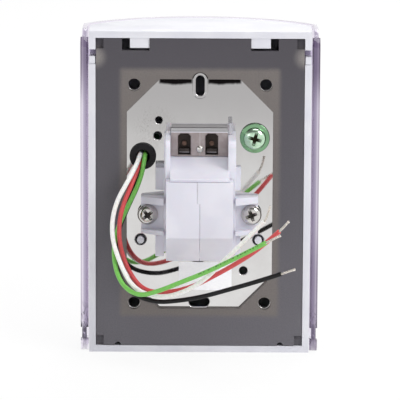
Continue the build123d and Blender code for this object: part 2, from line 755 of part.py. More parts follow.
with BuildPart() as grommet:
    rear, front = plate_rear - grommet_flange, plate_front + grommet_flange
    turned([(grommet_bore, rear), (grommet_radius - grommet_lip, rear), (grommet_radius, rear + grommet_lip),
            (grommet_radius, plate_rear), (grommet_neck_radius, plate_rear),
            (grommet_neck_radius, plate_front), (grommet_radius, plate_front), (grommet_radius, front),
            (grommet_bore, front)], grommet_x, grommet_z)

# The four leads and their bare ends
leads, lead_ends = {}, {}


def bend_radii(points):
    """The radius of each corner of a route: as large as its two runs allow."""
    runs = [Vector(*b) - Vector(*a) for a, b in zip(points, points[1:])]
    return [0.45 * min(a.length, b.length) / tan(radians(a.get_angle(b) / 2)) for a, b in zip(runs, runs[1:])]


for colour, route in lead_routes.items():
    x, z = lead_exits[colour]
    points = [(x, lead_block_rear, z), (x, lead_straights[colour], z)] + route
    radii = bend_radii(points)
    with BuildPart() as lead:
        with BuildLine() as path:
            FilletPolyline(*points, radius=radii)
        with BuildSketch(Plane(origin=path.line @ 0, z_dir=path.line % 0)):
            Circle(lead_diameter / 2)
        sweep()
    leads[colour] = lead
    length = sum(edge.length for edge in path.edges())
    share = lead.part.volume / (pi * lead_diameter**2 / 4 * length)
    print(colour, "lead", round(length, 1), "mm, volume share", round(share, 4))
    print("    bend radii", [round(radius, 1) for radius in radii])
    end = path.line @ 1
    bare_points = [end, end + (path.line % 1) * strand_straight, Vector(*lead_tips[colour])]
    with BuildPart() as bare:
        with BuildLine() as strand:
            FilletPolyline(*bare_points, radius=bend_radii(bare_points))
        with BuildSketch(Plane(origin=end, z_dir=strand.line % 0)):
            Circle(strand_diameter / 2)
        sweep()
    lead_ends[colour] = bare

pieces = {
    "housing": housing, "gasket": gasket, "back_plate": back_plate, "cover": cover,
    "pivot_keepers": pivot_keepers, "guide_bush": guide_bush, "bezel_seal": bezel_seal, "bush_nut": bush_nut,
    "button_head": button_head, "button_stem": button_stem, "retaining_clip": retaining_clip,
    "actuator": actuator, "return_spring": return_spring, "lamp_board": lamp_board,
    "board_screws": board_screws, "lamps": lamps, "lead_block": lead_block,
    "contact_holder": contact_holder, "contact_block_left": contact_block_left,
    "contact_block_right": contact_block_right, "plungers": plungers, "contact_bridges": contact_bridges,
    "fixed_contacts": fixed_contacts, "plunger_springs": plunger_springs, "terminal_plate": terminal_plate,
    "terminal_clamps": terminal_clamps, "wire_screws": wire_screws, "centre_screw": centre_screw,
    "locating_post": locating_post, "release_latch": release_latch, "holder_screws": holder_screws,
    "ground_screw": ground_screw, "label": label, "grommet": grommet,
}
for colour in leads:
    pieces[f"lead_{colour}"] = leads[colour]
    pieces[f"lead_end_{colour}"] = lead_ends[colour]

os.makedirs("parts", exist_ok=True)
for name, piece in pieces.items():
    piece.part.label = name
    export_step(piece.part, f"parts/{name}.step")
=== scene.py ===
"""Dresses a wall-mounted pushbutton station, seen from its wiring side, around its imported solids.

Sizes are millimetres and scaled once, by MM, as a mesh is made. X runs to the right, Y from the wall
to the front and Z up, so the side that shows here faces -Y.
"""
import json

import bmesh
import bpy
import numpy as np
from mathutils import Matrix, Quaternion, Vector


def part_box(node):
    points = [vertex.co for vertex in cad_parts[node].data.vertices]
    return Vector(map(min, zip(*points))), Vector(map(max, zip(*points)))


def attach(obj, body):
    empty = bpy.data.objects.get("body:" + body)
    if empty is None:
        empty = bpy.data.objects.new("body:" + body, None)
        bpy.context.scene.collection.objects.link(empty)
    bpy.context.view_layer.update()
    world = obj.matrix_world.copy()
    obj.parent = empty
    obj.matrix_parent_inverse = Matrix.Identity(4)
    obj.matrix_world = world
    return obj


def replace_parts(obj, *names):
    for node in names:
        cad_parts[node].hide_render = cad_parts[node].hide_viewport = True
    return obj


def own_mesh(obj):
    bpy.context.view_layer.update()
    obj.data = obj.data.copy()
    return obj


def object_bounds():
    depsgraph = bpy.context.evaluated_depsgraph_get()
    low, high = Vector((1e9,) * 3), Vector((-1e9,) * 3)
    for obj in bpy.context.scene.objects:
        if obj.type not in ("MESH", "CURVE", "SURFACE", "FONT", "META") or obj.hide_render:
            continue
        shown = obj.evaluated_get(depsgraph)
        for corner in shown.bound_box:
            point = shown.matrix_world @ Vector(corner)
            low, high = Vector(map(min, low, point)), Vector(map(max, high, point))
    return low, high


bl_info = {
    "name": "Pushbutton Station",
    "version": (1, 0, 0),
    "blender": (4, 5, 0),
    "location": "View3D > Sidebar > Station",
    "description": "Dresses a wall pushbutton station with its clear lift-up cover, leads and screws",
    "category": "Add Mesh",
}

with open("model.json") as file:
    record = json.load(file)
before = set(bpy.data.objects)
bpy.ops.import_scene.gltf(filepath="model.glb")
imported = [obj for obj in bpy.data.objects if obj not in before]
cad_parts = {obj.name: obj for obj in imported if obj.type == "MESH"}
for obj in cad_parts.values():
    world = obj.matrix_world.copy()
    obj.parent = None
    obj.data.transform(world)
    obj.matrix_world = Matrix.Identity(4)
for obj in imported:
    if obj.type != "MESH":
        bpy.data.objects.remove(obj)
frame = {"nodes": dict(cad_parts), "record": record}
NODES = frame["nodes"]
CAD_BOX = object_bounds()
MM = 0.001

# Camera, read off the photograph's perspective
CAMERA_DISTANCE = 1143.0
CAMERA_ELEVATION = 10.5
CAMERA_AIM_DROP = 2.5
CAMERA_AIM_RIGHT = 0.15
CAMERA_ROLL = 0.3
CAMERA_LENS = 273.6

# The leads' routes, in mm: out of the lead block, through the grommet and on to the cut end
LEAD_ROUTES = {
    "white": [(-22.3, 9, 14.7), (-22.3, -5, 14.7), (-25.6, -13.2, 8.7), (-31.5, -15, -1.5),
              (-32.9, -15.2, -12.7), (-29.7, -16.9, -23.2), (-24.5, -21.5, -32.2), (-15, -28.2, -34.2),
              (-6.2, -34.3, -30.9), (1.8, -39.5, -25.1), (8.4, -43.7, -17.3), (16.1, -46.5, -9.1),
              (23.2, -49.5, -1.2)],
    "red": [(-22.3, 9, 12.9), (-22.3, -3, 12.9), (-24.5, -11.8, 7.2), (-29.4, -13.5, -4.1),
            (-30.2, -13.3, -15.3), (-27, -13, -26.4), (-20.9, -20.6, -33.1), (-11.2, -27.2, -32.4),
            (-1.9, -32.7, -28.7), (6.2, -38.4, -23.1), (14.1, -44, -17.4), (21.9, -49.9, -10.8),
            (28.5, -55.5, -3.6)],
    "green": [(-20.5, 9, 14.7), (-20.5, -2.5, 14.7), (-21.8, -8.8, 7.3), (-26.3, -9.2, -2.4),
              (-31, -9.9, -12.2), (-32.2, -14.4, -21.5), (-29.4, -19.3, -30.6), (-22.7, -27.3, -33.8),
              (-14.8, -33, -30.5), (-6.7, -37.8, -26.1), (1.1, -43.2, -21.8), (8.6, -48.5, -17.1),
              (16.3, -54.1, -12), (23.6, -59.5, -7)],
    "black": [(-20.5, 9, 12.9), (-20.5, -0.5, 12.9), (-22.5, -6.9, 5.1), (-27.5, -6.4, -5.6),
              (-31.3, -7.4, -15.7), (-31.3, -12.5, -25.5), (-27, -18.4, -33.8), (-17, -22.6, -37.1),
              (-7.2, -26.9, -35.4), (2.2, -31.7, -32.6), (11.3, -36.4, -28.9), (20.7, -41.3, -25.1),
              (29.6, -46, -21.1)],
}
# Where each lead's bare end stops, and its colour
LEAD_TIPS = {"white": (25.3, -51, 4.8), "red": (31.9, -57.5, 0.5), "green": (28.9, -61, -3.9),
             "black": (34.7, -47.5, -19)}
LEAD_HEX = {"white": "#E6E5E2", "red": "#C9484A", "green": "#6FB850", "black": "#0F0E10"}

# The grounding screw's axis in X and Z, and how deep a driver's recess goes
GROUND_SCREW = (20.6, 20.9)
RECESS_DEPTH = 1.5


def linear(hex_value):
    """A colour written as sRGB hex, as the linear red, green, blue and alpha that Blender works in."""
    srgb = np.array([int(hex_value[i:i + 2], 16) / 255 for i in (1, 3, 5)])
    values = np.where(srgb <= 0.04045, srgb / 12.92, ((srgb + 0.055) / 1.055) ** 2.4)
    return (*map(float, values), 1.0)


def node(tree, kind, **values):
    """Adds one shader node. A value sets the node's own setting of that name, or else the input of that
    name: a socket is linked to it, and anything else becomes its default."""
    made = tree.nodes.new(kind)
    for key, value in values.items():
        if hasattr(made, key):
            setattr(made, key, value)
            continue
        name = key.replace("_", " ")
        socket = made.inputs[int(name[1:])] if name[0] == "i" and name[1:].isdigit() else made.inputs[name]
        if isinstance(value, bpy.types.NodeSocket):
            tree.links.new(value, socket)
        else:
            socket.default_value = value
    return made


def maths(tree, operation, first, second=0.0, **more):
    """One step of arithmetic on two values, each a socket or a number."""
    return node(tree, "ShaderNodeMath", operation=operation, i0=first, i1=second, **more).outputs[0]


def product(tree, first, *others):
    """Several values multiplied together."""
    for value in others:
        first = maths(tree, "MULTIPLY", first, value)
    return first


def object_place(tree):
    """Where a point is on its object, in metres: the place as one vector, and its X, Y and Z."""
    place = node(tree, "ShaderNodeTexCoord").outputs["Object"]
    return place, *node(tree, "ShaderNodeSeparateXYZ", Vector=place).outputs


def shader(name):
    """An empty material and its tree."""
    made = bpy.data.materials.new(name)
    made.use_nodes = True
    made.node_tree.nodes.clear()
    return made, made.node_tree


def surface(tree, bsdf):
    """Ends a material in its output."""
    node(tree, "ShaderNodeOutputMaterial", Surface=bsdf.outputs[0])


def principled(tree, colour, roughness, relief, **more):
    """Ends a material in one principled surface. The relief is a height, its strength and its depth in mm."""
    height, strength, depth = relief
    bump = node(tree, "ShaderNodeBump", Height=height, Strength=strength, Distance=depth * MM)
    surface(tree, node(tree, "ShaderNodeBsdfPrincipled", Base_Color=colour, Roughness=roughness,
                       Normal=bump.outputs[0], **more))


def grain(tree, size, detail=2.0, stretch=(1, 1, 1), **more):
    """A noise over the object whose lumps are about that many mm across."""
    place = node(tree, "ShaderNodeTexCoord").outputs["Object"]
    if stretch != (1, 1, 1):
        place = node(tree, "ShaderNodeMapping", Vector=place, Scale=stretch).outputs[0]
    return node(tree, "ShaderNodeTexNoise", Vector=place, Scale=1 / (size * MM), Detail=detail, **more)


def span(tree, value, from_low, from_high, to_low, to_high, kind="SMOOTHSTEP"):
    """Carries a value from one range to another, held at the ends."""
    return node(tree, "ShaderNodeMapRange", interpolation_type=kind, Value=value, From_Min=from_low,
                From_Max=from_high, To_Min=to_low, To_Max=to_high).outputs[0]


def blend_colours(tree, factor, first, second):
    """The first colour where the factor is 0 and the second where it is 1."""
    made = node(tree, "ShaderNodeMix", data_type="RGBA")
    for socket, value in ((made.inputs[0], factor), (made.inputs[6], first), (made.inputs[7], second)):
        if isinstance(value, bpy.types.NodeSocket):
            tree.links.new(value, socket)
        else:
            socket.default_value = value
    return made.outputs[2]


def moulded(name, dark, light, roughness, grain_mm=0.35, lift=0.02, **more):
    """A moulded plastic: a slow drift between two near colours, and the fine pebble of its tool steel."""
    made, tree = shader(name)
    drift = grain(tree, 14.0, 3.0).outputs[0]
    colour = blend_colours(tree, span(tree, drift, 0.35, 0.65, 0, 1), linear(dark), linear(light))
    pebble = grain(tree, grain_mm, 3.0).outputs[0]
    rough = span(tree, pebble, 0.3, 0.7, roughness - 0.04, roughness + 0.04)
    principled(tree, colour, rough, (pebble, 0.35, lift), **more)
    return made


def plated(name, hex_value, roughness, wear_hex, lift=0.006, size=1.2, recess_shade_hex=None):
    """A plated or polished metal: faint cloudiness in its gloss, and slightly duller patches. Deep in a
    driver's recess it darkens with painted shade, where a recess shade colour is given."""
    made, tree = shader(name)
    cloud = grain(tree, size, 4.0).outputs[0]
    colour = blend_colours(tree, span(tree, cloud, 0.45, 0.8, 0, 1), linear(hex_value), linear(wear_hex))
    if recess_shade_hex:
        # Painted shade deep in a driver's recess
        deep = node(tree, "ShaderNodeAttribute", attribute_name="recess").outputs["Fac"]
        colour = blend_colours(tree, span(tree, deep, 0.25, 0.75, 0, 1), colour, linear(recess_shade_hex))
    rough = span(tree, cloud, 0.3, 0.75, roughness * 0.8, roughness * 1.3)
    principled(tree, colour, rough, (cloud, 0.3, lift), Metallic=1.0)
    return made


def foam_material():
    """Closed-cell neoprene foam: matte charcoal with a fine skin grain, paler in a soft band round the
    window, and with a painted glow where light from the cover's white pivots falls on it."""
    made, tree = shader("neoprene_foam_charcoal")
    _, x, _, z = object_place(tree)
    skin = grain(tree, 0.5, 5.0).outputs[0]
    tall = span(tree, z, -0.061, 0.061, 0, 1, "LINEAR")
    colour = blend_colours(tree, tall, linear("#66646A"), linear("#49464C"))
    # A paler soft band round the window: how far a point lies outside a rectangle about the window
    outside = []
    for value, half in ((x, 0.0288), (z, 0.0461)):
        past = maths(tree, "SUBTRACT", maths(tree, "ABSOLUTE", value), half)
        outside.append(maths(tree, "MAXIMUM", past, 0.0))
    far = node(tree, "ShaderNodeCombineXYZ", X=outside[0], Y=outside[1]).outputs[0]
    reach = node(tree, "ShaderNodeVectorMath", operation="LENGTH", i0=far).outputs["Value"]
    wander = maths(tree, "MULTIPLY", grain(tree, 6.0).outputs[0], 0.0008)
    halo = span(tree, maths(tree, "ADD", reach, wander), 0.0000, 0.0027, 1, 0)
    colour = blend_colours(tree, halo, colour, linear("#716B68"))
    # Painted glow: a paler patch round each of the cover's white pivots, for the light they throw on the foam
    spot = node(tree, "ShaderNodeCombineXYZ", X=maths(tree, "ABSOLUTE", x), Z=z).outputs[0]
    pivot = node(tree, "ShaderNodeVectorMath", operation="DISTANCE", i0=spot, i1=(0.0395, 0, 0.0515))
    pivot_glow = span(tree, pivot.outputs["Value"], 0.0010, 0.0056, 0.8, 0)
    colour = blend_colours(tree, pivot_glow, colour, linear("#8C8784"))
    colour = blend_colours(tree, span(tree, skin, 0.42, 0.62, 0, 0.16), colour, linear("#3E3B40"))
    principled(tree, colour, 0.82, (skin, 0.5, 0.05))
    return made


def zinc_material():
    """Bright zinc on rolled steel: nearly a mirror, softened by fine rolling lines, with smudges and
    hairline scratches left of the middle where it was handled, and a painted shadow and dark reflection of
    the gasket's edge along the top of the window."""
    made, tree = shader("zinc_plated_steel_bright")
    place, x, _, z = object_place(tree)
    rolling = grain(tree, 0.25, 3.0, stretch=(1, 1, 0.04)).outputs[0]
    cloud = grain(tree, 9.0, 3.0).outputs[0]
    colour = blend_colours(tree, span(tree, cloud, 0.3, 0.7, 0, 1), linear("#D6D4D3"), linear("#DCDBDA"))
    colour = blend_colours(tree, span(tree, z, 0.012, 0.040, 0, 1), colour, linear("#C3C1C1"))
    # Hairlines are the contours of a drawn-out noise, kept near the two small holes
    scratch = grain(tree, 1.1, 6.0, stretch=(1.0, 1, 0.45), Distortion=2.5).outputs[0]
    near = node(tree, "ShaderNodeVectorMath", operation="DISTANCE", i0=place, i1=(-0.0165, 0.0025, 0.0245))
    smudge = product(tree, span(tree, scratch, 0.50, 0.515, 1, 0), span(tree, scratch, 0.46, 0.50, 0, 1),
                     span(tree, near.outputs["Value"], 0.003, 0.011, 0.55, 0))
    colour = blend_colours(tree, smudge, colour, linear("#8A8580"))
    # The painted shadow and dark reflection of the gasket's edge at the window's top is ragged below, and
    # stops short of the slot and the corners
    ragged = grain(tree, 4.0, 4.0, stretch=(1, 1, 0.3)).outputs[0]
    level = maths(tree, "ADD", z, maths(tree, "MULTIPLY", ragged, -0.0014))
    aside = maths(tree, "ABSOLUTE", x)
    painted_lip_shadow = product(tree, span(tree, level, 0.03990, 0.04100, 0, 1), span(tree, aside, 0.0148, 0.0158, 1, 0),
                    span(tree, aside, 0.0026, 0.0034, 0, 1))
    colour = blend_colours(tree, painted_lip_shadow, colour, linear("#171415"))
    rough = span(tree, cloud, 0.3, 0.7, 0.02, 0.045)
    principled(tree, colour, rough, (rolling, 0.05, 0.002), Metallic=1.0)
    return made


def polycarbonate_material():
    """Clear polycarbonate with a faint violet toner. Flat on, it only mirrors a little. Edge-on, the toner
    adds up through the depth of a side, in upright flow bands, and the sawn ends are slightly frosted."""
    made, tree = shader("polycarbonate_clear_violet")
    _, x, y, z = object_place(tree)
    side = maths(tree, "ABSOLUTE", x)
    rear = span(tree, y, 0.0030, 0.0045, 1, 0)
    bands = maths(tree, "MAXIMUM", span(tree, side, 0.0424, 0.0434, 1, 0),
                  span(tree, side, 0.0440, 0.0449, 0, 1))
    flow = grain(tree, 5.0, 2.0, stretch=(2.5, 0.3, 0.6)).outputs[0]
    edge = product(tree, bands, span(tree, flow, 0.35, 0.65, 0.8, 1), rear,
                   span(tree, z, -0.0575, -0.0560, 0, 1), span(tree, z, -0.035, -0.006, 1, 0.8))
    tint = blend_colours(tree, edge, linear("#FAF8FC"), linear("#C9C1D0"))
    # Where the foot narrows, the bent light of the mould's step darkens the edge in curls
    curl = grain(tree, 2.2, 3.0, stretch=(1.6, 0.3, 0.55), Distortion=1.8).outputs[0]
    waist = product(tree, span(tree, z, -0.0515, -0.0495, 1, 0), span(tree, z, -0.0575, -0.0560, 0, 1),
                    span(tree, curl, 0.36, 0.5, 0.2, 1))
    above = product(tree, span(tree, z, -0.0500, -0.0400, 1, 0), span(tree, curl, 0.50, 0.56, 0, 0.8))
    dark = product(tree, maths(tree, "MAXIMUM", above, waist), rear,
                   span(tree, z, -0.0578, -0.0562, 0.15, 1))
    tint = blend_colours(tree, dark, tint, linear("#716D7A"))
    # Painted shade and reflection darken the upper ends and the lower right-hand side
    upper = span(tree, z, 0.030, 0.052, 0, 0.85)
    right = product(tree, span(tree, x, 0.040, 0.042, 0, 1), span(tree, z, -0.036, -0.006, 0.65, 0.3))
    painted_reflection_shade = product(tree, maths(tree, "ADD", upper, right, use_clamp=True), rear)
    tint = blend_colours(tree, painted_reflection_shade, tint, linear("#9B90A4"))
    through = node(tree, "ShaderNodeBsdfTransparent", Color=tint)
    gloss = node(tree, "ShaderNodeBsdfGlossy", Color=linear("#FFFFFF"), Roughness=0.03)
    outside = maths(tree, "SUBTRACT", 1.0, node(tree, "ShaderNodeNewGeometry").outputs["Backfacing"])
    shine = maths(tree, "MULTIPLY", node(tree, "ShaderNodeFresnel", IOR=1.585).outputs[0], outside)
    clear = node(tree, "ShaderNodeMixShader", i0=shine, i1=through.outputs[0], i2=gloss.outputs[0])
    frost = span(tree, maths(tree, "ABSOLUTE", z), 0.0609, 0.06115, 0, 0.5)
    haze = node(tree, "ShaderNodeBsdfDiffuse", Color=linear("#D2CFD6"))
    body = node(tree, "ShaderNodeMixShader", i0=frost, i1=clear.outputs[0], i2=haze.outputs[0])
    volume = node(tree, "ShaderNodeVolumeAbsorption", Color=(0.22, 0.12, 0.36, 1.0), Density=42.0)
    node(tree, "ShaderNodeOutputMaterial", Surface=body.outputs[0], Volume=volume.outputs[0])
    return made


def lead_material(colour, hex_value):
    """Extruded vinyl insulation: smooth and slightly waxy, with faint scuffs, and on the green lead the
    short dashes of an inkjet marker along one side."""
    made, tree = shader(f"vinyl_insulation_{colour}")
    scuff = grain(tree, 0.9, 4.0).outputs[0]
    low = linear(hex_value)
    light = tuple(min(1.0, v * 1.12 + 0.004) for v in low[:3]) + (1.0,)
    shade = blend_colours(tree, span(tree, scuff, 0.35, 0.7, 0, 1), low, light)
    if colour == "green":
        uv = node(tree, "ShaderNodeUVMap", uv_map="around").outputs[0]
        along, around, _ = node(tree, "ShaderNodeSeparateXYZ", Vector=uv).outputs
        coarse = node(tree, "ShaderNodeTexNoise", noise_dimensions="1D", W=along, Scale=1.3, Detail=2.0)
        beside = maths(tree, "ABSOLUTE", maths(tree, "SUBTRACT", around, 0.825))
        ink = product(tree, span(tree, coarse.outputs[0], 0.50, 0.53, 0, 1),
                      span(tree, beside, 0.035, 0.06, 1, 0), span(tree, along, 101, 103, 0, 1),
                      span(tree, along, 131, 133, 1, 0))
        shade = blend_colours(tree, ink, shade, linear("#2C4A24"))
    shine = 0.22 if colour == "black" else 0.5
    principled(tree, shade, 0.36, (scuff, 0.2, 0.02), Specular_IOR_Level=shine, Subsurface_Weight=0.08,
               Subsurface_Scale=0.6 * MM)
    return made


def terminal_material():
    """Dull nickel strip on a white carrier: brownish grey and nearly matte where it faces the wirer, darkened
    with painted shade inside the wire slots, and pale where the carrier shows, over its top and behind it,
    greyed with painted shade away from the edge on the wirer's side."""
    made, tree = shader("terminal_nickel_dull")
    _, x, y, z = object_place(tree)
    cloud = grain(tree, 2.5, 4.0).outputs[0]
    colour = blend_colours(tree, span(tree, cloud, 0.35, 0.7, 0, 1), linear("#978C8B"), linear("#A39999"))
    seam = span(tree, maths(tree, "ABSOLUTE", x), 0.00008, 0.0002, 0.45, 0)
    colour = blend_colours(tree, seam, colour, linear("#C9C3C4"))
    # Painted shade: darker deep inside the wire slots
    colour = blend_colours(tree, span(tree, y, -0.0077, -0.0060, 0, 1), colour, linear("#4B413D"))
    # The carrier's white, greyed with painted shade away from its top's edge on the wirer's side and on its
    # face towards the plate
    carrier = maths(tree, "MAXIMUM", span(tree, z, 0.02444, 0.02452, 0, 1),
                    span(tree, y, -0.00362, -0.00352, 0, 1))
    rim = blend_colours(tree, span(tree, y, -0.0072, -0.0064, 0, 1), linear("#DCDBE4"), linear("#B0AFB2"))
    colour = blend_colours(tree, carrier, colour, rim)
    principled(tree, colour, 0.5, (cloud, 0.2, 0.01), Metallic=0.35)
    return made


def natural_nylon_material():
    """Natural nylon: milky, and letting some light straight through where it is thin."""
    made, tree = shader("nylon_natural_milky")
    milk = blend_colours(tree, grain(tree, 3.0).outputs[0], linear("#E0E0E4"), linear("#EAEAEE"))
    body = node(tree, "ShaderNodeBsdfPrincipled", Base_Color=milk, Roughness=0.4)
    clear = node(tree, "ShaderNodeBsdfTransparent", Color=linear("#F4F4F6"))
    surface(tree, node(tree, "ShaderNodeMixShader", i0=0.72, i1=body.outputs[0], i2=clear.outputs[0]))
    return made


def clamp_material():
    """Nickel clamp plates: nearly black where the wire is pressed, with a painted highlight along the foot.
    """
    made, tree = shader("nickel_clamp_dark")
    up = object_place(tree)[3]
    cloud = grain(tree, 1.5, 3.0).outputs[0]
    dark = blend_colours(tree, span(tree, cloud, 0.4, 0.7, 0, 1), linear("#3A3433"), linear("#4A4341"))
    # Painted highlight: a bright band along the foot
    colour = blend_colours(tree, span(tree, up, 0.01665, 0.01705, 0, 1), linear("#8A868B"), dark)
    surface(tree, node(tree, "ShaderNodeBsdfPrincipled", Base_Color=colour, Metallic=0.8, Roughness=0.22))
    return made


def green_screw_material(x, z):
    """Zinc dyed green, for a grounding screw on its axis at x and z: paler on the domed head than on the
    flange, and darkened with painted shade deep in the driver's recess."""
    made, tree = shader("green_dyed_zinc")
    place = node(tree, "ShaderNodeTexCoord").outputs["Object"]
    cloud = grain(tree, 1.2, 4.0).outputs[0]
    flat = node(tree, "ShaderNodeVectorMath", operation="MULTIPLY", i0=place, i1=(1, 0, 1)).outputs[0]
    away = node(tree, "ShaderNodeVectorMath", operation="DISTANCE", i0=flat, i1=(x * MM, 0, z * MM))
    colour = blend_colours(tree, span(tree, away.outputs["Value"], 0.0039, 0.0043, 0, 1), linear("#C9E6CB"),
                           linear("#81A984"))
    colour = blend_colours(tree, span(tree, cloud, 0.45, 0.8, 0, 0.5), colour, linear("#86AD89"))
    # Painted shade deep in the driver's recess
    deep = node(tree, "ShaderNodeAttribute", attribute_name="recess").outputs["Fac"]
    colour = blend_colours(tree, span(tree, deep, 0.25, 0.75, 0, 1), colour, linear("#27261A"))
    rough = span(tree, cloud, 0.3, 0.75, 0.16, 0.28)
    principled(tree, colour, rough, (cloud, 0.3, 0.006), Metallic=1.0)
    return made


def paper_material():
    """Coated label paper: bright white and matte, with barely visible fibre."""
    made, tree = shader("coated_label_paper")
    fibre = grain(tree, 0.6, 5.0, stretch=(0.4, 1, 1)).outputs[0]
    colour = blend_colours(tree, span(tree, fibre, 0.35, 0.65, 0, 1), linear("#FAFAFD"), linear("#FEFEFF"))
    principled(tree, colour, 0.55, (fibre, 0.2, 0.01))
    return made


def build_materials():
    """Every finish by its slot name in the record."""
    finishes = {
        # Outdoor-grade moulded ABS: satin, cool white, with the fine pebble of its tool
        "white_plastic": moulded("abs_moulded_cool_white", "#D2D2DA", "#D9D9DF", 0.36, Coat_Weight=0.08),
        "clear_plastic": polycarbonate_material(),
        "foam": foam_material(),
        "zinc": zinc_material(),
        # EPDM rubber: black, soft gloss on its rounded lip
        "black_rubber": moulded("epdm_rubber_black", "#131114", "#19161A", 0.3, 0.6, 0.008,
                                Specular_IOR_Level=0.22),
        "green_steel": green_screw_material(GROUND_SCREW[0], GROUND_SCREW[1]),
        "steel": plated("nickel_plated_steel", "#D2CFCB", 0.12, "#BDBAB6", recess_shade_hex="#3A3733"),
        # Injection-moulded ABS, glossy signal red
        "red_plastic": moulded("abs_gloss_signal_red", "#B21A1C", "#BE2022", 0.2, 0.8, 0.01, Coat_Weight=0.3),
        "black_plastic": moulded("nylon_moulded_black", "#26252A", "#2F2E33", 0.45),
        "grey_plastic": moulded("nylon_moulded_grey", "#A4A3AC", "#ADACB5", 0.5),
        "natural_plastic": natural_nylon_material(),
        "board_green": moulded("glass_epoxy_board_green", "#1F5A36", "#2A6A42", 0.35, 0.25, 0.02),
        "brass": plated("bright_brass", "#C9A265", 0.22, "#A88350"),
        "spring_steel": plated("drawn_spring_steel", "#B9B8B6", 0.24, "#989694"),
        "terminal_metal": terminal_material(),
        # A dark brown sheet of painted shade for the floor of the terminal slots
        "terminal_dark": moulded("slot_floor_painted_shade_brown", "#40332D", "#4A3C35", 0.6),
        # The carrier's rail over the terminals: the same white, greyed as painted shade
        "rail_grey": moulded("nylon_white_painted_shade", "#B0AFB2", "#B6B5B8", 0.5),
        # Terminal screws, dark brown and seen only deep in the slots
        "terminal_screw": plated("brass_dark_brown", "#6A554C", 0.45, "#54423A"),
        "terminal_clamp": clamp_material(),
        "copper": plated("tinned_copper_strand", "#E2DDD6", 0.25, "#B9B0A8", 0.01, 0.5),
        "lamp_lens": moulded("diffused_acrylic_lens", "#EBDCCF", "#F2E6DB", 0.3, Subsurface_Weight=0.3,
                             Subsurface_Scale=1.0 * MM),
        "label_paper": paper_material(),
        # Glass-filled nylon of the contact assembly: white with a lavender cast, satin
        "contact_white": moulded("nylon_moulded_lavender_white", "#D5D4DF", "#DDDCE5", 0.42, 0.3, 0.015,
                                 Subsurface_Weight=0.1, Subsurface_Scale=0.5 * MM),
    }
    for colour, hex_value in LEAD_HEX.items():
        finishes[f"lead_{colour}"] = lead_material(colour, hex_value)
    return finishes


FINISHES = {}


def finish_node(name, slot=None):
    """Gives a CAD node that stays in view its finish."""
    slots = {row["node"]: row["material_slot"] for row in frame["record"]["subparts"]}
    piece = NODES[name]
    piece.data.materials.clear()
    piece.data.materials.append(FINISHES[slot or slots[name]])
    return piece


def piece_of(name, mesh, slot, body="station", finish=None):
    """A new piece from a finished mesh: in the scene, with its finish and body."""
    made = bpy.data.objects.new(name, mesh)
    bpy.context.scene.collection.objects.link(made)
    mesh.materials.clear()
    mesh.materials.append(FINISHES[finish or slot])
    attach(made, body)
    return made


def grid_mesh(name, patches, uvs=None, recess=None):
    """A mesh from grids of points in mm, each an array of rows, columns and three, whose columns close on
    themselves. Rows that shrink to a point are merged there, so every pole is closed. A recess is a number
    for each point, from 0 on the face to 1 in the depth of a driver's recess."""
    vertices, quads, corners, start = [], [], [], 0
    for index, points in enumerate(patches):
        rows, columns = points.shape[:2]
        numbers = start + np.arange(rows * columns).reshape(rows, columns)
        low, high = numbers[:-1], numbers[1:]
        turn = [(np.arange(columns) + step) % columns for step in (0, 1)]
        quads.append(np.stack([low[:, turn[0]], low[:, turn[1]], high[:, turn[1]], high[:, turn[0]]],
                              axis=-1).reshape(-1, 4))
        if uvs is not None:
            along, around = uvs[index], np.linspace(0, 1, columns + 1)
            step = np.arange(columns)
            shape = (rows - 1, columns)
            a0, a1 = (np.broadcast_to(v[:, None], shape) for v in (along[:-1], along[1:]))
            r0, r1 = (np.broadcast_to(v[None], shape) for v in (around[step], around[step + 1]))
            corners.append(np.stack([np.stack(pair, -1) for pair in ((a0, r0), (a0, r1), (a1, r1), (a1, r0))],
                                    axis=2).reshape(-1, 2))
        vertices.append(points.reshape(-1, 3))
        start += rows * columns
    made = bpy.data.meshes.new(name)
    made.from_pydata((np.concatenate(vertices) * MM).tolist(), [], np.concatenate(quads).tolist())
    if uvs is not None:
        layer = made.uv_layers.new(name="around")
        layer.data.foreach_set("uv", np.concatenate(corners).astype(np.float32).ravel())
    if recess is not None:
        layer = made.attributes.new("recess", "FLOAT", "POINT")
        layer.data.foreach_set("value", np.concatenate([v.ravel() for v in recess]).astype(np.float32))
    close(made)
    return made


def box_mesh(name, spans):
    """A plain closed box between two corners, in mm, given as its three spans."""
    made = bpy.data.meshes.new(name)
    work = bmesh.new()
    bmesh.ops.create_cube(work, size=1.0)
    for vertex in work.verts:
        vertex.co = Vector([(low + high) / 2 + share * (high - low)
                            for share, (low, high) in zip(vertex.co, spans)]) * MM
    work.to_mesh(made)
    work.free()
    close(made)
    return made


def close(mesh, shade_angle=35.0):
    """Merges a mesh's doubles, drops what that leaves without area, turns its faces outward and shades it
    smooth up to a sharp edge's angle."""
    work = bmesh.new()
    work.from_mesh(mesh)
    bmesh.ops.remove_doubles(work, verts=work.verts, dist=1e-7)
    bmesh.ops.dissolve_degenerate(work, edges=work.edges, dist=1e-8)
    bmesh.ops.recalc_face_normals(work, faces=work.faces)
    work.to_mesh(mesh)
    work.free()
    mesh.shade_smooth()
    mesh.set_sharp_from_angle(angle=np.radians(shade_angle))


def circle(count):
    """Angles round a full turn."""
    return np.linspace(0, 2 * np.pi, count, endpoint=False)


def turned(profile, x=0.0, z=0.0, count=64):
    """A lathe form about a line along Y: each (radius, depth) of the profile swept round the line."""
    radius, depth = np.array(profile, float).T
    turn = circle(count)
    level = np.broadcast_to(depth[:, None], (len(radius), count))
    return np.stack([x + radius[:, None] * np.cos(turn), level, z + radius[:, None] * np.sin(turn)], axis=-1)


def arc(centre, radius, start, end, count=8):
    """Points of a circular arc in a profile, from one angle in degrees to another."""
    turn = np.radians(np.linspace(start, end, count))
    return [(centre[0] + radius * np.cos(t), centre[1] + radius * np.sin(t)) for t in turn]


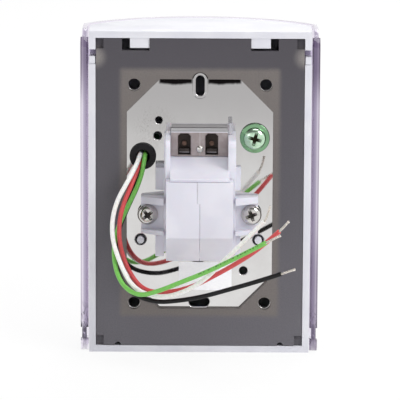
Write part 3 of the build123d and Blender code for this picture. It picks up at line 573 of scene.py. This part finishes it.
def softened(name, cad, edge, slot=None, body="station", finish=None, segments=3, mirror=False):
    """A CAD node's form with its sharp edges rounded as moulding or stamping leaves them: its triangles
    merged back to flat faces, then a bevel on every edge sharper than 30 degrees. A mirror's level faces
    are shaded flat, so that it shows straight things straight."""
    source = NODES[cad]
    mesh = source.data.copy()
    mesh.name = name
    work = bmesh.new()
    work.from_mesh(mesh)
    bmesh.ops.remove_doubles(work, verts=work.verts, dist=2e-6)
    bmesh.ops.dissolve_limit(work, angle_limit=np.radians(0.5), verts=work.verts, edges=work.edges)
    work.to_mesh(mesh)
    work.free()
    mesh.shade_smooth()
    if mirror:
        for face in mesh.polygons:
            face.use_smooth = abs(face.normal.y) < 0.999
    slots = {row["node"]: row["material_slot"] for row in frame["record"]["subparts"]}
    made = piece_of(name, mesh, slot or slots[cad], body, finish)
    bevel = made.modifiers.new("round", "BEVEL")
    bevel.limit_method = "ANGLE"
    bevel.angle_limit = np.radians(30)
    bevel.width = edge * MM
    bevel.segments = segments
    bevel.use_clamp_overlap = True
    bevel.harden_normals = not mirror
    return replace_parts(made, cad)


def smoothstep(low, high, value):
    """0 below low, 1 above high, and an S-curve between."""
    share = np.clip((value - low) / (high - low), 0, 1)
    return share * share * (3 - 2 * share)


def cross_head(x, z, seat, radius, height, recess, depth, turn, washer=None, columns=128):
    """A screw head as a height over a disc: a superellipse dome, less a cross of two tapered bars whose
    depth falls off outward, over a flat washer where it has one."""
    outer = washer[0] if washer else radius
    base = washer[1] if washer else 0.0
    rows = np.concatenate([np.linspace(0, radius, 64), [radius] if not washer else
                           np.linspace(radius + 0.02, outer - 0.25, 8), outer + 0.25 * (np.sin(
                               np.linspace(0, np.pi / 2, 5)) - 1) if washer else []])
    spin = circle(columns)
    radii = rows[:, None] * np.ones_like(spin)
    dome = base + height * np.clip(1 - (radii / radius) ** 2.6, 0, 1) ** 0.42
    if washer:
        inner = radii <= radius
        slope = base - 0.25 * (radii - radius) / (outer - radius) * base
        lip = np.sqrt(np.clip(1 - ((radii - (outer - 0.25)) / 0.25).clip(0, 1) ** 2, 0, 1))
        dome = np.where(inner, dome, slope * (0.55 + 0.45 * lip))
    across, up = radii * np.cos(spin - np.radians(turn)), radii * np.sin(spin - np.radians(turn))
    bar = np.zeros_like(radii)
    for along, aside in ((across, up), (up, across)):
        half = 0.62 - 0.14 * np.abs(along) / recess
        cut = (1 - smoothstep(half - 0.08, half + 0.08, np.abs(aside))) * (
            1 - smoothstep(recess - 0.15, recess + 0.05, np.abs(along)))
        bar = np.maximum(bar, cut * (0.45 + 0.55 * (1 - np.abs(along) / recess)))
    dome = dome - depth * bar
    top = np.stack([x + radii * np.cos(spin), seat - dome, z + radii * np.sin(spin)], axis=-1)
    rim = top[-1:].copy()
    rim[..., 1] = seat
    middle = np.broadcast_to(np.array([x, seat, z]), rim.shape)
    return np.concatenate([top, rim, middle]), np.concatenate([bar, np.zeros((2, columns))])


def screw_shank(x, z, radius, seat, end, point=0.6, chamfer=0.8):
    """A screw's plain shank along Y from under its head, narrowed at the end."""
    profile = [(0, seat), (radius, seat), (radius, end - chamfer), (radius - point, end), (0, end)]
    return turned(profile, x, z, 32)


def spline_points(points):
    """The line of a smooth NURBS spline of order 3 whose control points are a route, in mm, read from a
    curve with no bevel, as Blender draws it."""
    curve = bpy.data.curves.new("route", "CURVE")
    curve.dimensions = "3D"
    curve.resolution_u = 16
    spline = curve.splines.new("NURBS")
    spline.points.add(len(points) - 1)
    for point, place in zip(spline.points, points):
        point.co = (*(Vector(place) * MM), 1.0)
    spline.order_u = 3
    spline.use_endpoint_u = True
    holder = bpy.data.objects.new("route", curve)
    line = bpy.data.meshes.new_from_object(holder)
    found = np.zeros(len(line.vertices) * 3)
    line.vertices.foreach_get("co", found)
    bpy.data.objects.remove(holder)
    bpy.data.curves.remove(curve)
    bpy.data.meshes.remove(line)
    return found.reshape(-1, 3) / MM


def lengths(path):
    """The distance run along a path at each of its points."""
    return np.concatenate([[0], np.cumsum(np.linalg.norm(np.diff(path, axis=0), axis=1))])


def carried_frames(path):
    """A tangent and two unit normals at each point of a path, carried along it without twist."""
    tangent = np.gradient(path, axis=0)
    tangent /= np.linalg.norm(tangent, axis=1, keepdims=True)
    side = np.cross(tangent[0], (0.0, 0.0, 1.0))
    normals = []
    for direction in tangent:
        side = side - direction * side.dot(direction)
        side = side / np.linalg.norm(side)
        normals.append(side)
    normals = np.array(normals)
    return tangent, normals, np.cross(tangent, normals)


def tube(path, radius, count=20, blunt=0.12):
    """A round tube about a path, whose two ends turn in over a small radius and close."""
    tangent, first, second = carried_frames(path)
    turn = circle(count)
    ring = first[:, None] * np.cos(turn)[:, None] + second[:, None] * np.sin(turn)[:, None]
    body = path[:, None] + ring * radius
    steps = np.radians([90, 60, 30])
    ends = []
    for index, sign in ((0, -1), (-1, 1)):
        cap = [path[index] + ring[index] * (radius - blunt + blunt * np.cos(a)) +
               sign * tangent[index] * blunt * np.sin(a) for a in steps]
        middle = np.broadcast_to(path[index] + sign * tangent[index] * blunt, ring[index].shape)
        ends.append(np.array([middle, *cap]))
    return np.concatenate([ends[0], body, ends[1][::-1]])


def strands(path, wire, layer, lay, count=6):
    """Bare strands: one straight in the middle and the rest wound round it, each a thin tube about a helix
    whose pitch is the lay, opening a little at the tip."""
    _, first, second = carried_frames(path)
    run = lengths(path)
    made = [tube(path, wire, 8, wire * 0.4)]
    for index in range(count):
        turn = 2 * np.pi * (run / lay + index / count)
        flare = layer * (1 + 0.35 * smoothstep(0.75, 1.0, run / run[-1]) * np.cos(2.4 * index))
        centre = path + first * (flare * np.cos(turn))[:, None] + second * (flare * np.sin(turn))[:, None]
        made.append(tube(centre, wire, 8, wire * 0.4))
    return made


def coil_form(x, z, radius, wire, turns, low, high):
    """A coil spring: a thin tube about a helix along Y."""
    run = np.linspace(0, 1, int(turns * 36))
    turn = 2 * np.pi * turns * run
    path = np.stack([x + radius * np.cos(turn), low + wire / 2 + (high - low - wire) * run,
                     z + radius * np.sin(turn)], axis=-1)
    return tube(path, wire / 2, 10, wire * 0.15)


def spring(cad, wire, turns):
    """The coil springs of a CAD node, side by side about lines along Y."""
    low, high = (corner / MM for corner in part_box(cad))
    reach, z = (high.z - low.z) / 2, (low.z + high.z) / 2
    lines = sorted({round(low.x + reach, 3), round(high.x - reach, 3)})
    forms = [coil_form(x, z, reach - wire / 2, wire, turns, low.y, high.y) for x in lines]
    made = piece_of(f"{cad}_wound", grid_mesh(cad, forms), "spring_steel")
    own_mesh(made)
    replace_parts(made, cad)


class StationSettings(bpy.types.PropertyGroup):
    """Sizes and colours that a user would change."""

    lead_diameter: bpy.props.FloatProperty(
        name="Lead diameter", description="Outside diameter of each lead's insulation", default=1.7 * MM,
        min=0.5 * MM, max=4 * MM, unit="LENGTH")
    moulding_round: bpy.props.FloatProperty(
        name="Moulding round", description="Radius on the edges of the white mouldings", default=0.35 * MM,
        min=0.05 * MM, max=1 * MM, unit="LENGTH")
    plate_round: bpy.props.FloatProperty(
        name="Plate round", description="Radius that punching leaves on the back plate's edges",
        default=0.2 * MM, min=0.05 * MM, max=0.4 * MM, unit="LENGTH")
    floor_colour: bpy.props.FloatVectorProperty(
        name="Floor", description="Colour of the studio floor", default=linear("#F4F4F4")[:3], size=3,
        subtype="COLOR", min=0, max=1)


def settings():
    return bpy.context.scene.station


def seen_directly(tree, rays):
    """1 for a ray from the camera, one that comes through something clear or one off a mirror, else 0."""
    through = maths(tree, "MAXIMUM", rays["Is Camera Ray"], rays["Is Transmission Ray"])
    return maths(tree, "MAXIMUM", through, rays["Is Glossy Ray"])


class STATION_OT_stage(bpy.types.Operator):
    """Adds the floor, soft lights, white surroundings and the photograph's camera"""

    bl_idname = "station.stage"
    bl_label = "Stage"

    def execute(self, context):
        scene = context.scene
        low = CAD_BOX[0][2]
        floor_mesh = bpy.data.meshes.new("studio_floor")
        half = 4.0
        corners = [(x * half, y * half, low) for x, y in ((-1, -1), (1, -1), (1, 1), (-1, 1))]
        floor_mesh.from_pydata(corners, [], [(0, 1, 2, 3)])
        floor = bpy.data.objects.new("studio_floor", floor_mesh)
        scene.collection.objects.link(floor)
        made, tree = shader("studio_floor_white")
        tone = grain(tree, 90.0).outputs[0]
        colour = (*settings().floor_colour, 1.0)
        paler = tuple(min(1.0, v * 1.03) for v in colour[:3]) + (1.0,)
        matte = node(tree, "ShaderNodeBsdfDiffuse", Color=blend_colours(tree, tone, colour, paler))
        rays = node(tree, "ShaderNodeLightPath").outputs
        # In polished metal the floor falls off with distance, as a real sweep does
        falling = span(tree, object_place(tree)[2], -0.55, -0.12, 0.26, 0.0, "LINEAR")
        level = maths(tree, "SUBTRACT", 1.0, maths(tree, "MULTIPLY", rays["Is Glossy Ray"], falling))
        white = node(tree, "ShaderNodeEmission", Color=(1, 1, 1, 1), Strength=level)
        share = maths(tree, "MULTIPLY", seen_directly(tree, rays), 0.88)
        mix = node(tree, "ShaderNodeMixShader", i0=share, i1=matte.outputs[0], i2=white.outputs[0])
        surface(tree, mix)
        floor_mesh.materials.append(made)

        world = bpy.data.worlds.new("studio")
        scene.world = world
        world.use_nodes = True
        tree = world.node_tree
        tree.nodes.clear()
        rays = node(tree, "ShaderNodeLightPath").outputs
        strength = span(tree, seen_directly(tree, rays), 0, 1, 0.60, 1.0, "LINEAR")
        # The ceiling above the lights is dark, which only polished metal shows
        up = node(tree, "ShaderNodeSeparateXYZ", Vector=node(tree, "ShaderNodeTexCoord").outputs["Generated"])
        ceiling = product(tree, rays["Is Glossy Ray"], span(tree, up.outputs[2], 0.30, 0.60, 0, 0.82))
        strength = maths(tree, "SUBTRACT", strength, ceiling)
        sky = node(tree, "ShaderNodeBackground", Color=(1, 1, 1, 1), Strength=strength)
        node(tree, "ShaderNodeOutputWorld", Surface=sky.outputs[0])

        for name, place, size, power in (
                ("key_upper_right", (0.85, -0.85, 0.85), 0.6, 8.0),
                ("fill_left", (-1.0, -1.0, 0.25), 0.9, 2.2),
                ("top_soft", (0.15, -0.1, 1.2), 0.8, 4.6),
                ("front_soft", (0.3, 1.1, 0.9), 0.9, 6.0)):
            lamp = bpy.data.lights.new(name, "AREA")
            lamp.shape = "DISK"
            lamp.size = size
            lamp.energy = power
            holder = bpy.data.objects.new(name, lamp)
            holder.location = place
            holder.rotation_euler = (-Vector(place)).to_track_quat("-Z", "Y").to_euler()
            scene.collection.objects.link(holder)

        camera = bpy.data.cameras.new("camera")
        camera.sensor_width = 36.0
        camera.lens = CAMERA_LENS
        camera.clip_end = 20.0
        holder = bpy.data.objects.new("camera", camera)
        tilt = np.radians(CAMERA_ELEVATION)
        back = Vector((0, -np.cos(tilt), np.sin(tilt)))
        holder.location = Vector((CAMERA_AIM_RIGHT, 0, -CAMERA_AIM_DROP)) * MM + back * CAMERA_DISTANCE * MM
        aim = (-back).to_track_quat("-Z", "Y") @ Quaternion((0, 0, 1), np.radians(CAMERA_ROLL))
        holder.rotation_euler = aim.to_euler()
        scene.collection.objects.link(holder)
        scene.camera = holder
        scene.view_settings.view_transform = "Standard"
        return {"FINISHED"}


class STATION_OT_finishes(bpy.types.Operator):
    """Makes every material of the station"""

    bl_idname = "station.finishes"
    bl_label = "Finishes"

    def execute(self, context):
        FINISHES.update(build_materials())
        return {"FINISHED"}


class STATION_OT_leads(bpy.types.Operator):
    """Adds the four leads, each a smooth vinyl tube with a stripped, twisted end"""

    bl_idname = "station.leads"
    bl_label = "Leads"

    def execute(self, context):
        diameter = settings().lead_diameter / MM
        for colour, route in LEAD_ROUTES.items():
            path = spline_points(route)
            form = tube(path, diameter / 2)
            run = lengths(path)
            along = np.concatenate([[0] * 4, run, [run[-1]] * 4])
            lead = piece_of(f"lead_{colour}_vinyl", grid_mesh(f"lead_{colour}", [form], [along]),
                            f"lead_{colour}")
            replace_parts(lead, f"lead_{colour}")
            end, onward = path[-1], path[-1] - path[-2]
            onward /= np.linalg.norm(onward)
            tip = np.array(LEAD_TIPS[colour], float)
            bare = spline_points([end - onward * 0.4, end + onward * 2.0, tip])
            forms = strands(bare, wire=0.15, layer=0.3, lay=4.5)
            strand = piece_of(f"lead_{colour}_strands", grid_mesh(f"strands_{colour}", forms), "copper")
            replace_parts(strand, f"lead_end_{colour}")
        return {"FINISHED"}


class STATION_OT_housing(bpy.types.Operator):
    """Adds the bowed housing with rounded moulded edges, and its pivot keepers"""

    bl_idname = "station.housing"
    bl_label = "Housing"

    def execute(self, context):
        softened("housing_moulding", "housing", settings().moulding_round / MM)
        softened("pivot_keeper_blocks", "pivot_keepers", 0.2, finish="white_plastic")
        return {"FINISHED"}


class STATION_OT_cover(bpy.types.Operator):
    """Adds the clear lift-up cover"""

    bl_idname = "station.cover"
    bl_label = "Cover"

    def execute(self, context):
        softened("cover_moulding", "cover", 0.3, body="cover")
        return {"FINISHED"}


class STATION_OT_back(bpy.types.Operator):
    """Adds the foam gasket, the zinc back plate, the label and the grommet"""

    bl_idname = "station.back"
    bl_label = "Gasket and back plate"

    def execute(self, context):
        finish_node("gasket")
        softened("back_plate_pressing", "back_plate", settings().plate_round / MM, segments=2, mirror=True)
        finish_node("label")
        low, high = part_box("grommet")
        x, z = (low.x + high.x) / 2 / MM, (low.z + high.z) / 2 / MM
        rear, front, outer = low.y / MM, high.y / MM, (high.x - low.x) / 2 / MM
        seat, plate = (v / MM for v in (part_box("back_plate")[0].y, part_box("back_plate")[1].y))
        bore, neck = 2.4, 3.9
        lip = (seat - rear) / 2
        profile = [(bore, seat), *arc((bore + lip, rear + lip), lip, 180, 270),
                   *arc((outer - lip, rear + lip), lip, 270, 360), (outer, seat), (neck, seat), (neck, plate),
                   (outer, plate), *arc((outer - lip, front - lip), lip, 0, 90),
                   *arc((bore + lip, front - lip), lip, 90, 180), (bore, seat)]
        grommet = piece_of("grommet_ring", grid_mesh("grommet", [turned(profile, x, z)]), "black_rubber")
        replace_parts(grommet, "grommet")
        return {"FINISHED"}


class STATION_OT_contacts(bpy.types.Operator):
    """Adds the contact holder, its two blocks, the terminals and what moves inside them"""

    bl_idname = "station.contacts"
    bl_label = "Contact assembly"

    def execute(self, context):
        softened("contact_holder_moulding", "contact_holder", 0.3, finish="contact_white")
        for side in ("left", "right"):
            softened(f"contact_block_{side}_moulding", f"contact_block_{side}", 0.3, finish="contact_white")
        softened("terminal_plate_pressing", "terminal_plate", 0.12)
        low, high = (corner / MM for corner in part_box("terminal_plate"))
        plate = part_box("back_plate")[0].y / MM
        inset, rail_height = 0.3, 1.95
        across, up = (low.x + inset, high.x - inset), (low.z + inset, high.z - 0.1)
        # A dark sheet of painted shade just behind the wire slots, and over it the carrier's rail, in white
        # greyed as painted shade, which reaches the plate
        sheet = box_mesh("terminal_slot_shade_sheet", [across, (high.y + 0.05, high.y + 0.2), up])
        piece_of("terminal_slot_shade_sheet", sheet, "terminal_metal", finish="terminal_dark")
        rail = box_mesh("terminal_rail", [(low.x, high.x), (high.y + 0.22, plate - 0.01),
                                          (high.z - rail_height, high.z)])
        piece_of("terminal_rail", rail, "white_plastic", finish="rail_grey")
        softened("terminal_clamp_plates", "terminal_clamps", 0.42, finish="terminal_clamp", segments=4)
        softened("locating_post_pin", "locating_post", 0.2)
        softened("release_latch_moulding", "release_latch", 0.2)
        finish_node("wire_screws", "terminal_screw")
        for name in ("plungers", "contact_bridges", "fixed_contacts"):
            finish_node(name)
        spring("plunger_springs", 0.4, 7)
        return {"FINISHED"}


class STATION_OT_screws(bpy.types.Operator):
    """Adds the cross-head screws: two pan heads, the green grounding screw and the small ones"""

    bl_idname = "station.screws"
    bl_label = "Screws"

    def execute(self, context):
        low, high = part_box("holder_screws")
        radius = (high.z - low.z) / 2 / MM
        z = (low.z + high.z) / 2 / MM
        head_height, recess_reach = 2.4, 2.15
        seat, end = low.y / MM + head_height, high.y / MM
        forms, depths = [], []
        for x, turn in ((low.x / MM + radius, 38.0), (high.x / MM - radius, 20.0)):
            head, depth = cross_head(x, z, seat, radius, head_height, recess_reach, RECESS_DEPTH, turn)
            shank = screw_shank(x, z, 1.7, seat, end)
            forms += [head, shank]
            depths += [depth, np.zeros(shank.shape[:2])]
        pair = piece_of("holder_screw_pair", grid_mesh("holder_screws", forms, recess=depths), "steel")
        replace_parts(pair, "holder_screws")

        low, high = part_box("ground_screw")
        x, z = (low.x + high.x) / 2 / MM, (low.z + high.z) / 2 / MM
        seat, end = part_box("back_plate")[0].y / MM, high.y / MM
        flange, flange_height = (high.x - low.x) / 2 / MM, 0.9
        head_radius, head_height, recess_reach = 4.2, 2.3, 2.5
        head, depth = cross_head(x, z, seat, head_radius, head_height, recess_reach, RECESS_DEPTH, -15.0,
                                 washer=(flange, flange_height))
        shank = screw_shank(x, z, 1.9, seat, end)
        ground = piece_of("ground_screw_green", grid_mesh("ground_screw", [head, shank], recess=[
            depth, np.zeros(shank.shape[:2])]), "green_steel")
        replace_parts(ground, "ground_screw")

        low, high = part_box("centre_screw")
        x, z, radius = 0.0, (low.z + high.z) / 2 / MM, (high.x - low.x) / 2 / MM
        rear, front = low.y / MM, high.y / MM
        head_height = 0.8
        seat = rear + head_height
        dome = [(radius * np.sin(a), seat - head_height * np.cos(a)) for a in np.linspace(0, np.pi / 2, 12)]
        forms = [turned([*dome, (0.7, seat), (0.7, front), (0, front)], x, z, 40)]
        centre = piece_of("centre_screw_domed", grid_mesh("centre_screw", forms), "steel")
        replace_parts(centre, "centre_screw")
        finish_node("board_screws")
        return {"FINISHED"}


class STATION_OT_button(bpy.types.Operator):
    """Adds the pushbutton: its bush, seal, nut, mushroom head, stem, clip, actuator and spring"""

    bl_idname = "station.button"
    bl_label = "Pushbutton"

    def execute(self, context):
        softened("guide_bush_turning", "guide_bush", 0.25)
        finish_node("bezel_seal")
        softened("bush_nut_moulding", "bush_nut", 0.3)
        low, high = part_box("button_head")
        radius, rear, front = high.x / MM, low.y / MM, high.y / MM
        round_edge, rear_edge, dome = 1.2, 0.6, 6.0
        crown = (radius ** 2 + dome ** 2) / (2 * dome)
        reach = radius - round_edge * 0.35
        top = [(r, front - crown + np.sqrt(crown ** 2 - r ** 2)) for r in np.linspace(0, reach - 0.9, 28)]
        profile = [*top, *arc((radius - round_edge, front - dome - 0.15), round_edge, 62, 0),
                   *arc((radius - rear_edge, rear + rear_edge), rear_edge, 0, -90, 6), (0, rear)]
        head = piece_of("button_head_mushroom", grid_mesh("button_head", [turned(profile, count=96)]),
                        "red_plastic", "button")
        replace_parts(head, "button_head")
        for name in ("button_stem", "retaining_clip", "actuator"):
            finish_node(name)
        spring("return_spring", 1.0, 6)
        return {"FINISHED"}


class STATION_OT_lamps(bpy.types.Operator):
    """Finishes the lamp board, its lamps and its lead block"""

    bl_idname = "station.lamps"
    bl_label = "Lamp board"

    def execute(self, context):
        for name in ("lamp_board", "lamps", "lead_block"):
            finish_node(name)
        return {"FINISHED"}


OPERATORS = (STATION_OT_stage, STATION_OT_finishes, STATION_OT_leads, STATION_OT_housing, STATION_OT_cover,
             STATION_OT_back, STATION_OT_contacts, STATION_OT_screws, STATION_OT_button, STATION_OT_lamps)


class STATION_PT_panel(bpy.types.Panel):
    """The station's sizes, colours and pieces"""

    bl_idname = "STATION_PT_panel"
    bl_label = "Pushbutton Station"
    bl_space_type = "VIEW_3D"
    bl_region_type = "UI"
    bl_category = "Station"

    def draw(self, context):
        for name in StationSettings.__annotations__:
            self.layout.prop(context.scene.station, name)
        for operator in OPERATORS:
            self.layout.operator(operator.bl_idname)


CLASSES = (StationSettings, *OPERATORS, STATION_PT_panel)


def register():
    for item in CLASSES:
        bpy.utils.register_class(item)
    bpy.types.Scene.station = bpy.props.PointerProperty(type=StationSettings)


def unregister():
    del bpy.types.Scene.station
    for item in reversed(CLASSES):
        bpy.utils.unregister_class(item)


def main():
    """Builds the station piece by piece."""
    register()
    for operator in OPERATORS:
        group, name = operator.bl_idname.split(".")
        getattr(getattr(bpy.ops, group), name)()


if __name__ == "__main__":
    main()
